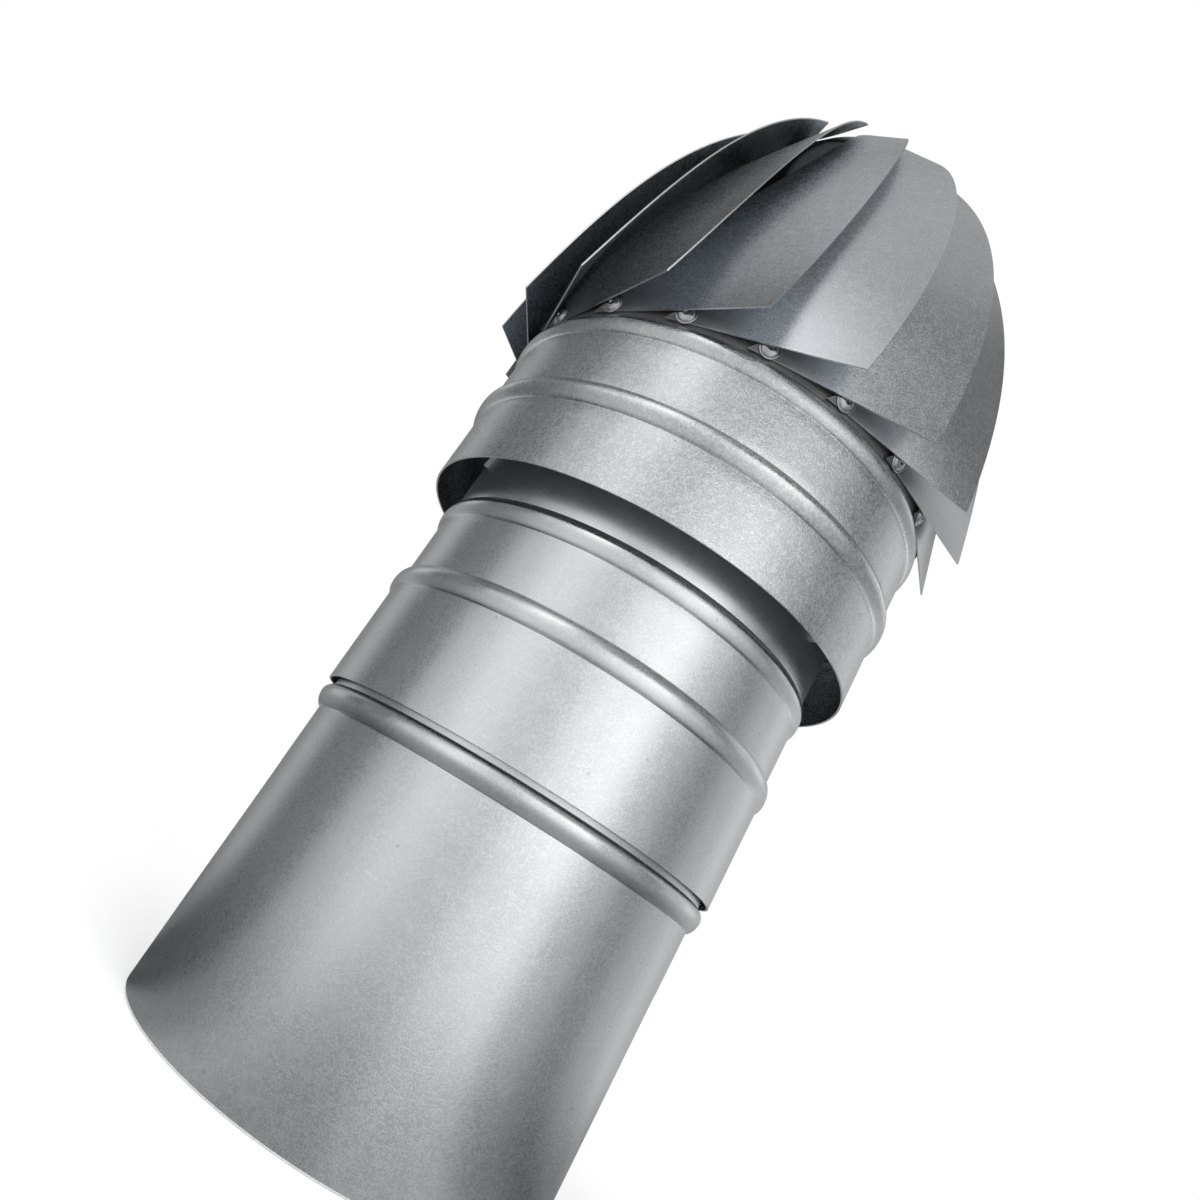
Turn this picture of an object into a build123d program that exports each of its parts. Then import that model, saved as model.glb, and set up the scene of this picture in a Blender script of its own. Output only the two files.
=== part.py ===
from build123d import *
import math
import os

# Roof turbine ventilator in galvanised sheet steel. Millimetres, +Z up along the axis of rotation.
# The origin is the centre of the duct pipe's lower end.

# Duct pipe
PIPE_RADIUS = 75.0
DUCT_SHEET = 0.7
PIPE_BELOW_BEAD = 97.3
PIPE_ABOVE_BEAD = 32.0
PIPE_BEAD_WIDTH = 8.5
PIPE_BEAD_HEIGHT = 2.7
BEAD_CREST = 3.2

# Neck: sleeve over the pipe, narrower wall between its beads, throat above
SLEEVE_GAP = 2.4
SLEEVE_ABOVE_PIPE_BEAD = 1.6
SLEEVE_LENGTH = 37.2
NECK_LENGTH = 21.4
THROAT_LENGTH = 41.0
SLEEVE_TO_NECK_STEP = 1.1
NECK_TO_THROAT_STEP = 0.9
NECK_BEAD_WIDTH = 9.0
NECK_BEAD_HEIGHT = 2.0

# Rubber ring between pipe and sleeve
SEAL_HEIGHT = 9.0
SEAL_BELOW_PIPE_TOP = 3.0

# Rotor skirt and the collar that carries the blades
SKIRT_SHEET = 0.7
SKIRT_GAP = 12.0
SKIRT_OVERLAP = 33.3
SKIRT_LOWER_LENGTH = 27.1
SKIRT_UPPER_LENGTH = 22.4
SKIRT_BEAD_WIDTH = 9.0
SKIRT_BEAD_HEIGHT = 2.4
COLLAR_STEP = 1.2
COLLAR_HEIGHT = 13.0

# Lap seams on the back of the neck and the skirt
SEAM_WIDTH = 9.0
SEAM_AZIMUTH = 90.0

# Blades
BLADE_COUNT = 18
BLADE_SHEET = 0.6
BLADE_REACH = 17.7
BLADE_HEIGHT = 152.3
BLADE_TAIL = 12.0
TIP_ABOVE_RIVET = 2.0
TAIL_BELOW_RIVET = 3.9
FIRST_TIP_AZIMUTH = -115.2
BELLY_SHARE = 0.333
BELLY_DROP = 6.7
BELLY_LEAD = 4.1
BROW_SHARE = 0.667
BROW_DROP = 21.2
BROW_LEAD = 6.1
CORNER_LEAD = 6.1
CORNER_OUTSIDE_CROWN = 2.5
INNER_CORNER_LAG = 20.1
INNER_CORNER_RISE = 5.4
INNER_CORNER_INSIDE_CROWN = 7.4
INNER_LOW_SHARE = 0.4
INNER_LOW_DRAW = 3.6
INNER_LOW_LAG = 20.7
INNER_MIDDLE_SHARE = 0.6
INNER_MIDDLE_DRAW = 14.2
INNER_MIDDLE_LAG = 17.3
INNER_HIGH_SHARE = 0.8
INNER_HIGH_DRAW = 28.7
INNER_HIGH_LAG = 17.1

# Rivets, with flat sides because there are so many of them
RIVET_HEAD_SIDES = 8
RIVET_SHANK_SIDES = 6
RIVET_RADIUS = 2.0
RIVET_HEAD_RADIUS = 4.0
RIVET_HEAD_HEIGHT = 1.1
RIVET_HEAD_TAPER = 45.0
RIVET_TAIL_LENGTH = 1.0
RIVET_CLEARANCE = 0.05
SHEET_CLEARANCE = 0.05
BLADE_RIVET_CLEARANCE = 0.1
COLLAR_RIVET_RISE = 4.7
COLLAR_RIVET_FROM_TAIL = 6.6
SLEEVE_RIVET_ANGLE = 60.0

# Crown plate at the top of the blades
CROWN_RIM_RADIUS = 49.6
CROWN_FLAT_RADIUS = 40.2
CROWN_SHEET = 1.0
CROWN_RIM_DROP = 16.0
CROWN_ABOVE_INNER_CORNER = 1.2
CROWN_OPENING_CLEARANCE = 0.5

# Hub tube, bearings and spindle
SPINDLE_RADIUS = 4.0
SPINDLE_CLEARANCE = 0.02
BEARING_RADIUS = 11.0
BEARING_WIDTH = 7.0
BEARING_INNER_SHOULDER = 6.1
BEARING_SHIELD_GAP = 0.3
SEAT_CLEARANCE = 0.02
HUB_RADIUS = 13.5
HUB_SHOULDER_RADIUS = 9.5
HUB_FLANGE_RADIUS = 27.0
HUB_FLANGE_SHEET = 2.5
HUB_RIVET_COUNT = 4
HUB_RIVET_CIRCLE = 21.7
UPPER_BEARING_DEPTH = 6.0
LOWER_BEARING_DEPTH = 3.0
SPACER_RADIUS = 5.6
SPINDLE_BELOW_NUT = 4.0
SPINDLE_ABOVE_NUT = 1.5
SPINDLE_CHAMFER = 0.8
NUT_FLATS_RADIUS = 6.5
NUT_HEIGHT = 6.5
WASHER_RADIUS = 9.0
WASHER_SHEET = 1.6
INNER_WASHER_RADIUS = 5.8
INNER_WASHER_SHEET = 1.0

# Cap over the hub
CAP_RADIUS = 17.0
CAP_TOP_RADIUS = 10.0
CAP_EDGE = 1.0
CAP_SHEET = 0.8
CAP_HEIGHT = 6.0
CAP_PLUG_LENGTH = 3.0
CAP_CLEARANCE = 0.1

# Bearing bridge across the throat
BRIDGE_ARMS = 3
BRIDGE_AZIMUTH = -157.0
BRIDGE_SHEET = 2.0
BRIDGE_ARM_WIDTH = 14.0
BRIDGE_HUB_RADIUS = 18.0
EAR_STRAIGHT = 19.5
EAR_POINT = 6.0
EAR_RIVET_DROP = 13.0

# Heights of the stack, from the pipe's lower end up
pipe_bead_top = PIPE_BELOW_BEAD + PIPE_BEAD_WIDTH
pipe_top = pipe_bead_top + PIPE_ABOVE_BEAD
sleeve_bottom = pipe_bead_top + SLEEVE_ABOVE_PIPE_BEAD
neck_bottom = sleeve_bottom + SLEEVE_LENGTH + NECK_BEAD_WIDTH
throat_bottom = neck_bottom + NECK_LENGTH + NECK_BEAD_WIDTH
throat_rim = throat_bottom + THROAT_LENGTH
skirt_bottom = throat_rim - SKIRT_OVERLAP
skirt_upper_bottom = skirt_bottom + SKIRT_LOWER_LENGTH + SKIRT_BEAD_WIDTH
collar_bottom = skirt_upper_bottom + SKIRT_UPPER_LENGTH + SKIRT_BEAD_WIDTH
collar_top = collar_bottom + COLLAR_HEIGHT
collar_rivet_height = collar_bottom + COLLAR_RIVET_RISE
tip_height = collar_rivet_height + TIP_ABOVE_RIVET
corner_height = tip_height + BLADE_HEIGHT
inner_corner_height = corner_height + INNER_CORNER_RISE
crown_top = inner_corner_height + CROWN_ABOVE_INNER_CORNER

# Outer radii of the rolled tubes
sleeve_radius = PIPE_RADIUS + SLEEVE_GAP + DUCT_SHEET
neck_radius = sleeve_radius - SLEEVE_TO_NECK_STEP
throat_radius = neck_radius - NECK_TO_THROAT_STEP
skirt_radius = throat_radius + SKIRT_GAP + SKIRT_SHEET
collar_radius = skirt_radius - COLLAR_STEP
tip_radius = collar_radius + BLADE_REACH

os.makedirs("parts", exist_ok=True)


def finish(name, builder):
    """Label a finished piece and write it out."""
    builder.part.label = name
    export_step(builder.part, f"parts/{name}.step")


def at_azimuth(radius, azimuth, height):
    """Point at a radius and height, at an azimuth in degrees from +X."""
    angle = math.radians(azimuth)
    return Vector(radius * math.cos(angle), radius * math.sin(angle), height)


def radial_plane(azimuth, radius, height):
    """Plane whose normal points outwards, with its own Y along +Z."""
    angle = math.radians(azimuth)
    outward = Vector(math.cos(angle), math.sin(angle), 0)
    return Plane(at_azimuth(radius, azimuth, height), x_dir=Vector(0, 0, 1).cross(outward), z_dir=outward)


def half_section(stretches, bead_height):
    """Outer line of a rolled tube: plain stretches (radius, bottom, top) with a bead between each two."""
    line = []
    for radius, bottom, top in stretches:
        if line:
            last_radius, last_top = line[-1]
            crest = max(radius, last_radius) + bead_height
            middle = (last_top + bottom) / 2
            line += [(crest, middle - BEAD_CREST / 2), (crest, middle + BEAD_CREST / 2)]
        line += [(radius, bottom), (radius, top)]
    return line


def turned_sheet(line, outwards, inwards, azimuth, arc):
    """Sheet that lies about a half section, turned through an arc that is centred on an azimuth."""
    outer = [(radius + outwards, height) for radius, height in line]
    inner = [(radius - inwards, height) for radius, height in line]
    with BuildPart() as sheet:
        with BuildSketch(Plane.XZ.rotated((0, 0, azimuth - arc / 2))):
            with BuildLine():
                Polyline(*outer, *reversed(inner), close=True)
            make_face()
        revolve(axis=Axis.Z, revolution_arc=arc)
    return sheet.part


def rivet(plane, grip):
    """Rivet with its head on the plane and its shank inwards through the grip."""
    with BuildPart() as one:
        with BuildSketch():
            RegularPolygon(RIVET_HEAD_RADIUS, RIVET_HEAD_SIDES)
        extrude(amount=RIVET_HEAD_HEIGHT, taper=RIVET_HEAD_TAPER)
        with BuildSketch():
            RegularPolygon(RIVET_RADIUS, RIVET_SHANK_SIDES)
        extrude(amount=-grip - RIVET_TAIL_LENGTH)
    return plane.location * one.part


def rivet_hole(plane, grip):
    """Solid to cut away for the same rivet's shank."""
    with BuildPart() as hole:
        with BuildSketch():
            RegularPolygon(RIVET_RADIUS + RIVET_CLEARANCE, RIVET_SHANK_SIDES)
        extrude(amount=-grip - RIVET_TAIL_LENGTH)
    return plane.location * hole.part


# Duct pipe
pipe_stretches = [(PIPE_RADIUS, 0, PIPE_BELOW_BEAD), (PIPE_RADIUS, pipe_bead_top, pipe_top)]
pipe_line = half_section(pipe_stretches, PIPE_BEAD_HEIGHT)
sleeve_rivet_height = (sleeve_bottom + pipe_top - SEAL_BELOW_PIPE_TOP - SEAL_HEIGHT) / 2
sleeve_rivet_planes = [
    radial_plane(SEAM_AZIMUTH + angle, sleeve_radius + SHEET_CLEARANCE, sleeve_rivet_height)
    for angle in (-SLEEVE_RIVET_ANGLE, SLEEVE_RIVET_ANGLE)
]
sleeve_grip = 2 * DUCT_SHEET + SLEEVE_GAP + SHEET_CLEARANCE
with BuildPart() as duct_pipe:
    add(turned_sheet(pipe_line, 0, DUCT_SHEET, 0, 360))
    for plane in sleeve_rivet_planes:
        add(rivet_hole(plane, sleeve_grip), mode=Mode.SUBTRACT)
finish("duct_pipe", duct_pipe)

# Rubber ring on the pipe, inside the sleeve
with BuildPart() as pipe_seal:
    with BuildSketch(Plane.XY.offset(pipe_top - SEAL_BELOW_PIPE_TOP - SEAL_HEIGHT)):
        Circle(PIPE_RADIUS + SLEEVE_GAP - SHEET_CLEARANCE)
        Circle(PIPE_RADIUS + SHEET_CLEARANCE, mode=Mode.SUBTRACT)
    extrude(amount=SEAL_HEIGHT)
finish("pipe_seal", pipe_seal)

# Neck sleeve, with holes for the sleeve rivets and the bridge rivets
neck_stretches = [
    (sleeve_radius, sleeve_bottom, sleeve_bottom + SLEEVE_LENGTH),
    (neck_radius, neck_bottom, neck_bottom + NECK_LENGTH),
    (throat_radius, throat_bottom, throat_rim),
]
neck_line = half_section(neck_stretches, NECK_BEAD_HEIGHT)
neck_seam_line = half_section(neck_stretches[:-1], NECK_BEAD_HEIGHT)
ear_inner_radius = throat_radius + SHEET_CLEARANCE
ear_outer_radius = ear_inner_radius + BRIDGE_SHEET
ear_rivet_height = throat_rim - EAR_RIVET_DROP
ear_grip = BRIDGE_SHEET + DUCT_SHEET + 2 * SHEET_CLEARANCE
bridge_azimuths = [BRIDGE_AZIMUTH + 360 / BRIDGE_ARMS * arm for arm in range(BRIDGE_ARMS)]
ear_rivet_planes = [
    radial_plane(azimuth, ear_outer_radius + SHEET_CLEARANCE, ear_rivet_height)
    for azimuth in bridge_azimuths
]
with BuildPart() as neck_sleeve:
    add(turned_sheet(neck_line, 0, DUCT_SHEET, 0, 360))
    seam_arc = math.degrees(SEAM_WIDTH / sleeve_radius)
    add(turned_sheet(neck_seam_line, DUCT_SHEET, DUCT_SHEET / 2, SEAM_AZIMUTH, seam_arc))
    for plane in sleeve_rivet_planes:
        add(rivet_hole(plane, sleeve_grip), mode=Mode.SUBTRACT)
    for plane in ear_rivet_planes:
        add(rivet_hole(plane, ear_grip), mode=Mode.SUBTRACT)
finish("neck_sleeve", neck_sleeve)

# Rivets that hold the sleeve to the pipe
with BuildPart() as sleeve_rivets:
    for plane in sleeve_rivet_planes:
        add(rivet(plane, sleeve_grip))
finish("sleeve_rivets", sleeve_rivets)

# Bearing bridge: three flat arms over the throat's rim, with pointed ears down its outside
half_arm = BRIDGE_ARM_WIDTH / 2
with BuildPart() as bearing_bridge:
    with BuildSketch(Plane.XY.offset(throat_rim)):
        Circle(BRIDGE_HUB_RADIUS)
        with PolarLocations(0, BRIDGE_ARMS, start_angle=BRIDGE_AZIMUTH):
            Rectangle(ear_outer_radius, BRIDGE_ARM_WIDTH, align=(Align.MIN, Align.CENTER))
        Circle(SPINDLE_RADIUS + SPINDLE_CLEARANCE, mode=Mode.SUBTRACT)
    extrude(amount=BRIDGE_SHEET)
    for azimuth in bridge_azimuths:
        with BuildSketch(radial_plane(azimuth, ear_inner_radius, throat_rim)):
            with BuildLine():
                Polyline(
                    (-half_arm, 0),
                    (half_arm, 0),
                    (half_arm, -EAR_STRAIGHT),
                    (0, -EAR_STRAIGHT - EAR_POINT),
                    (-half_arm, -EAR_STRAIGHT),
                    close=True,
                )
            make_face()
        extrude(amount=BRIDGE_SHEET)
    for plane in ear_rivet_planes:
        add(rivet_hole(plane, ear_grip), mode=Mode.SUBTRACT)
finish("bearing_bridge", bearing_bridge)

with BuildPart() as bridge_rivets:
    for plane in ear_rivet_planes:
        add(rivet(plane, ear_grip))
finish("bridge_rivets", bridge_rivets)

# Spindle stack above and below the bridge, up to the upper bearing
bridge_top = throat_rim + BRIDGE_SHEET
lower_nut_bottom = throat_rim - WASHER_SHEET - NUT_HEIGHT
upper_nut_bottom = bridge_top + WASHER_SHEET
lower_bearing_bottom = upper_nut_bottom + NUT_HEIGHT + INNER_WASHER_SHEET
lower_bearing_top = lower_bearing_bottom + BEARING_WIDTH
hub_top = crown_top - CROWN_SHEET
upper_bearing_top = hub_top - UPPER_BEARING_DEPTH
upper_bearing_bottom = upper_bearing_top - BEARING_WIDTH
lock_nut_bottom = upper_bearing_top + INNER_WASHER_SHEET
spindle_bottom = lower_nut_bottom - SPINDLE_BELOW_NUT
spindle_top = lock_nut_bottom + NUT_HEIGHT + SPINDLE_ABOVE_NUT
hub_bottom = lower_bearing_bottom - LOWER_BEARING_DEPTH


def ring(outer, inner, bottom, height):
    """Plain ring round the axis."""
    with BuildPart() as part:
        with BuildSketch(Plane.XY.offset(bottom)):
            Circle(outer)
            Circle(inner, mode=Mode.SUBTRACT)
        extrude(amount=height)
    return part


def hexagon_nut(bottom):
    """Hexagon nut on the spindle."""
    with BuildPart() as nut:
        with BuildSketch(Plane.XY.offset(bottom)):
            RegularPolygon(NUT_FLATS_RADIUS, 6, major_radius=False)
            Circle(SPINDLE_RADIUS + SPINDLE_CLEARANCE, mode=Mode.SUBTRACT)
        extrude(amount=NUT_HEIGHT)
    return nut


def bearing_inner_ring(bottom):
    """Inner ring of a ball bearing, seated on the spindle."""
    return ring(BEARING_INNER_SHOULDER, SPINDLE_RADIUS + SPINDLE_CLEARANCE, bottom, BEARING_WIDTH)


def bearing_outer_ring(bottom):
    """Outer ring of a ball bearing, solid up to the sealing gap because the bearing is a closed unit."""
    return ring(BEARING_RADIUS, BEARING_INNER_SHOULDER + BEARING_SHIELD_GAP, bottom, BEARING_WIDTH)


with BuildPart() as spindle:
    with BuildSketch(Plane.XY.offset(spindle_bottom)):
        Circle(SPINDLE_RADIUS)
    extrude(amount=spindle_top - spindle_bottom)
    chamfer(spindle.edges().filter_by(GeomType.CIRCLE), length=SPINDLE_CHAMFER)
finish("spindle", spindle)

spindle_hole = SPINDLE_RADIUS + SPINDLE_CLEARANCE
with BuildPart() as bridge_washers:
    add(ring(WASHER_RADIUS, spindle_hole, throat_rim - WASHER_SHEET, WASHER_SHEET).part)
    add(ring(WASHER_RADIUS, spindle_hole, bridge_top, WASHER_SHEET).part)
finish("bridge_washers", bridge_washers)
with BuildPart() as inner_washers:
    add(ring(INNER_WASHER_RADIUS, spindle_hole, upper_nut_bottom + NUT_HEIGHT, INNER_WASHER_SHEET).part)
    add(ring(INNER_WASHER_RADIUS, spindle_hole, upper_bearing_top, INNER_WASHER_SHEET).part)
finish("inner_washers", inner_washers)
finish("bridge_nut_lower", hexagon_nut(lower_nut_bottom))
finish("bridge_nut_upper", hexagon_nut(upper_nut_bottom))
finish("lock_nut", hexagon_nut(lock_nut_bottom))
spacer_length = upper_bearing_bottom - lower_bearing_top
finish("spacer_tube", ring(SPACER_RADIUS, spindle_hole, lower_bearing_top, spacer_length))
finish("lower_bearing_inner", bearing_inner_ring(lower_bearing_bottom))
finish("upper_bearing_inner", bearing_inner_ring(upper_bearing_bottom))
finish("lower_bearing_outer", bearing_outer_ring(lower_bearing_bottom))
finish("upper_bearing_outer", bearing_outer_ring(upper_bearing_bottom))

hub_grip = CROWN_SHEET + HUB_FLANGE_SHEET + SHEET_CLEARANCE
hub_rivet_planes = [
    Plane(at_azimuth(HUB_RIVET_CIRCLE, 360 / HUB_RIVET_COUNT * place, crown_top + SHEET_CLEARANCE))
    for place in range(HUB_RIVET_COUNT)
]

# Hub tube: bearing seats at both ends, shoulders between them, flange under the crown plate
with BuildPart() as hub_tube:
    with BuildSketch(Plane.XY.offset(hub_bottom)):
        Circle(HUB_RADIUS)
    extrude(amount=hub_top - hub_bottom)
    with BuildSketch(Plane.XY.offset(hub_top)):
        Circle(HUB_FLANGE_RADIUS)
    extrude(amount=-HUB_FLANGE_SHEET)
    with BuildSketch(Plane.XY.offset(hub_bottom)):
        Circle(HUB_SHOULDER_RADIUS)
    extrude(amount=hub_top - hub_bottom, mode=Mode.SUBTRACT)
    with BuildSketch(Plane.XY.offset(hub_bottom)):
        Circle(BEARING_RADIUS + SEAT_CLEARANCE)
    extrude(amount=lower_bearing_top - hub_bottom, mode=Mode.SUBTRACT)
    with BuildSketch(Plane.XY.offset(hub_top)):
        Circle(BEARING_RADIUS + SEAT_CLEARANCE)
    extrude(amount=-(UPPER_BEARING_DEPTH + BEARING_WIDTH), mode=Mode.SUBTRACT)
    for plane in hub_rivet_planes:
        add(rivet_hole(plane, hub_grip), mode=Mode.SUBTRACT)
finish("hub_tube", hub_tube)

with BuildPart() as hub_rivets:
    for plane in hub_rivet_planes:
        add(rivet(plane, hub_grip))
finish("hub_rivets", hub_rivets)

# Cap over the spindle's end: flat top and sloping edge, with a plug ring in the hub's bore
cap_bottom = crown_top + SHEET_CLEARANCE
plug_radius = BEARING_RADIUS + SEAT_CLEARANCE - CAP_CLEARANCE
with BuildPart() as hub_cap:
    with BuildSketch(Plane.XZ):
        with BuildLine():
            Polyline(
                (0, cap_bottom + CAP_HEIGHT),
                (CAP_TOP_RADIUS, cap_bottom + CAP_HEIGHT),
                (CAP_RADIUS, cap_bottom + CAP_EDGE),
                (CAP_RADIUS, cap_bottom),
                (plug_radius, cap_bottom),
                (plug_radius, cap_bottom - CAP_PLUG_LENGTH),
                (plug_radius - CAP_SHEET, cap_bottom - CAP_PLUG_LENGTH),
                (plug_radius - CAP_SHEET, cap_bottom + CAP_HEIGHT - CAP_SHEET),
                (0, cap_bottom + CAP_HEIGHT - CAP_SHEET),
                close=True,
            )
        make_face()
    revolve(axis=Axis.Z)
finish("hub_cap", hub_cap)

# Blade: a ruled sheet between a curved outer edge and a curved inner edge.
# Seen from above its lower edge is the line from the tip that is tangent to the collar.
seat_radius = collar_radius + SHEET_CLEARANCE + BLADE_SHEET
tangent_length = math.sqrt(tip_radius**2 - seat_radius**2)
tangent_lag = math.degrees(math.atan2(tangent_length, seat_radius))
tail_radius = math.hypot(seat_radius, BLADE_TAIL)
tail_lag = tangent_lag + math.degrees(math.atan2(BLADE_TAIL, seat_radius))
tail_height = collar_rivet_height - TAIL_BELOW_RIVET
corner_radius = CROWN_RIM_RADIUS + CORNER_OUTSIDE_CROWN
inner_corner_radius = CROWN_RIM_RADIUS - INNER_CORNER_INSIDE_CROWN
inner_rise = inner_corner_height - tip_height


def blade_face(tip_azimuth):
    """Outer face of one blade, given the azimuth of its tip."""
    outer_points = [
        (tip_radius, 0, 0),
        (tip_radius - BELLY_DROP, BELLY_LEAD, BELLY_SHARE),
        (tip_radius - BROW_DROP, BROW_LEAD, BROW_SHARE),
        (corner_radius, CORNER_LEAD, 1),
    ]
    inner_points = [
        (tail_radius, tail_lag, (tail_height - tip_height) / inner_rise),
        (seat_radius - INNER_LOW_DRAW, INNER_LOW_LAG, INNER_LOW_SHARE),
        (seat_radius - INNER_MIDDLE_DRAW, INNER_MIDDLE_LAG, INNER_MIDDLE_SHARE),
        (seat_radius - INNER_HIGH_DRAW, INNER_HIGH_LAG, INNER_HIGH_SHARE),
        (inner_corner_radius, INNER_CORNER_LAG, 1),
    ]
    outer_edge = Spline(
        *[at_azimuth(radius, tip_azimuth + lead, tip_height + BLADE_HEIGHT * share)
          for radius, lead, share in outer_points]
    )
    inner_edge = Spline(
        *[at_azimuth(radius, tip_azimuth - lag, tip_height + inner_rise * share)
          for radius, lag, share in inner_points]
    )
    return Face.make_surface_from_curves(inner_edge.edge(), outer_edge.edge())


# The collar rivets stand square on the blades' lower ends, behind the line where these touch the collar
rivet_shift = BLADE_TAIL - COLLAR_RIVET_FROM_TAIL
collar_inner_radius = collar_radius - SKIRT_SHEET


def collar_rivet_plane(face, tip_azimuth):
    """Plane of a collar rivet's head on the outer face of a blade."""
    foot = radial_plane(tip_azimuth - tangent_lag, 0, collar_rivet_height)
    aim = Axis(foot.origin - foot.x_dir * rivet_shift, foot.z_dir)
    point, normal = face.find_intersection_points(aim)[0]
    if normal.dot(foot.z_dir) < 0:
        normal = -normal
    head = point + normal * BLADE_RIVET_CLEARANCE
    return Plane(head, x_dir=Vector(0, 0, 1).cross(normal), z_dir=normal)


tip_azimuths = [FIRST_TIP_AZIMUTH + 360 / BLADE_COUNT * index for index in range(BLADE_COUNT)]
blade_faces = [blade_face(azimuth) for azimuth in tip_azimuths]
collar_rivet_planes = [collar_rivet_plane(face, azimuth) for face, azimuth in zip(blade_faces, tip_azimuths)]
first_head = collar_rivet_planes[0].origin
collar_grip = math.hypot(first_head.X, first_head.Y) - collar_inner_radius

for index, face in enumerate(blade_faces):
    with BuildPart() as blade:
        thicken(face, amount=BLADE_SHEET)
        add(rivet_hole(collar_rivet_planes[index], collar_grip), mode=Mode.SUBTRACT)
    finish(f"blade_{index + 1:02d}", blade)

with BuildPart() as collar_rivets:
    for plane in collar_rivet_planes:
        add(rivet(plane, collar_grip))
finish("collar_rivets", collar_rivets)

# Rotor skirt with its collar
skirt_stretches = [
    (skirt_radius, skirt_bottom, skirt_bottom + SKIRT_LOWER_LENGTH),
    (skirt_radius, skirt_upper_bottom, skirt_upper_bottom + SKIRT_UPPER_LENGTH),
    (collar_radius, collar_bottom, collar_top),
]
skirt_line = half_section(skirt_stretches, SKIRT_BEAD_HEIGHT)
skirt_seam_line = half_section(skirt_stretches[:-1], SKIRT_BEAD_HEIGHT)
with BuildPart() as rotor_skirt:
    add(turned_sheet(skirt_line, 0, SKIRT_SHEET, 0, 360))
    seam_arc = math.degrees(SEAM_WIDTH / skirt_radius)
    add(turned_sheet(skirt_seam_line, SKIRT_SHEET, SKIRT_SHEET / 2, SEAM_AZIMUTH, seam_arc))
    for plane in collar_rivet_planes:
        add(rivet_hole(plane, collar_grip), mode=Mode.SUBTRACT)
finish("rotor_skirt", rotor_skirt)

# Crown plate: flat disc with a conical rim inside the blades' top ends
crown_opening = BEARING_RADIUS + CROWN_OPENING_CLEARANCE
with BuildPart() as crown_plate:
    with BuildSketch(Plane.XZ):
        with BuildLine():
            Polyline(
                (crown_opening, crown_top),
                (CROWN_FLAT_RADIUS, crown_top),
                (CROWN_RIM_RADIUS, crown_top - CROWN_RIM_DROP),
                (CROWN_RIM_RADIUS - CROWN_SHEET, crown_top - CROWN_RIM_DROP),
                (CROWN_FLAT_RADIUS - CROWN_SHEET / 2, crown_top - CROWN_SHEET),
                (crown_opening, crown_top - CROWN_SHEET),
                close=True,
            )
        make_face()
    revolve(axis=Axis.Z)
    for plane in hub_rivet_planes:
        add(rivet_hole(plane, hub_grip), mode=Mode.SUBTRACT)
finish("crown_plate", crown_plate)
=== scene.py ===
import math

import bmesh
import bpy
import numpy as np
from mathutils import Matrix


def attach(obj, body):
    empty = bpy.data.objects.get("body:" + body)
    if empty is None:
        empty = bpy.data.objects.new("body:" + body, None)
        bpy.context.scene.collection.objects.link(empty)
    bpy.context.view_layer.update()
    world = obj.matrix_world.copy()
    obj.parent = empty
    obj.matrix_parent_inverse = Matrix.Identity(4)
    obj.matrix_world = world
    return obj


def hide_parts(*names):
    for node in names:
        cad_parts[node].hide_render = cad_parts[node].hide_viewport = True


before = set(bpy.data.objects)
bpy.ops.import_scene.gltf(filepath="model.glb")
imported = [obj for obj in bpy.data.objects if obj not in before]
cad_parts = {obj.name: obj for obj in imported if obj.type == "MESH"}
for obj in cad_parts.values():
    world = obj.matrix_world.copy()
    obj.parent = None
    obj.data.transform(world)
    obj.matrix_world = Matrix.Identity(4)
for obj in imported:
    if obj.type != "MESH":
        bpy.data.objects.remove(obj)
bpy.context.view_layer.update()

# Viewpoint.
# The ventilator stands upright and the camera, close to it and low, looks up at the head with the
# picture turned, so that the axis runs from lower left to upper right.
MM = 0.001
EYE = (0.0, -338.197 * MM, 80.0 * MM)
EYE_YAW, EYE_PITCH, EYE_ROLL = -0.066, 0.352, 0.561
PICTURE_WIDTH = 1200
FOCAL_PIXELS = 903.08
CENTRE_PIXEL = (594.695, 549.925)
SENSOR_WIDTH = 36.0


def stand(name, data, side, top, back, place):
    """New object whose own three axes point along three directions, at a place."""
    holder = bpy.data.objects.new(name, data)
    rows = [[side[k], top[k], back[k], place[k]] for k in range(3)]
    holder.matrix_world = Matrix(rows + [[0.0, 0.0, 0.0, 1.0]])
    bpy.context.collection.objects.link(holder)
    return holder


eye = bpy.data.cameras.new("eye")
eye.sensor_width = SENSOR_WIDTH
eye.lens = FOCAL_PIXELS / PICTURE_WIDTH * SENSOR_WIDTH
eye.shift_x = 0.5 - CENTRE_PIXEL[0] / PICTURE_WIDTH
eye.shift_y = CENTRE_PIXEL[1] / PICTURE_WIDTH - 0.5
eye.clip_start = 10 * MM
ahead = np.array([
    math.sin(EYE_YAW) * math.cos(EYE_PITCH), math.cos(EYE_YAW) * math.cos(EYE_PITCH), math.sin(EYE_PITCH)
])
level = np.array([math.cos(EYE_YAW), -math.sin(EYE_YAW), 0.0])
upward = np.cross(level, ahead)
across = math.cos(EYE_ROLL) * level + math.sin(EYE_ROLL) * upward
topward = -math.sin(EYE_ROLL) * level + math.cos(EYE_ROLL) * upward
bpy.context.scene.camera = stand("eye", eye, across, topward, -ahead, EYE)
bpy.context.scene.view_settings.view_transform = "Standard"


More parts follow.
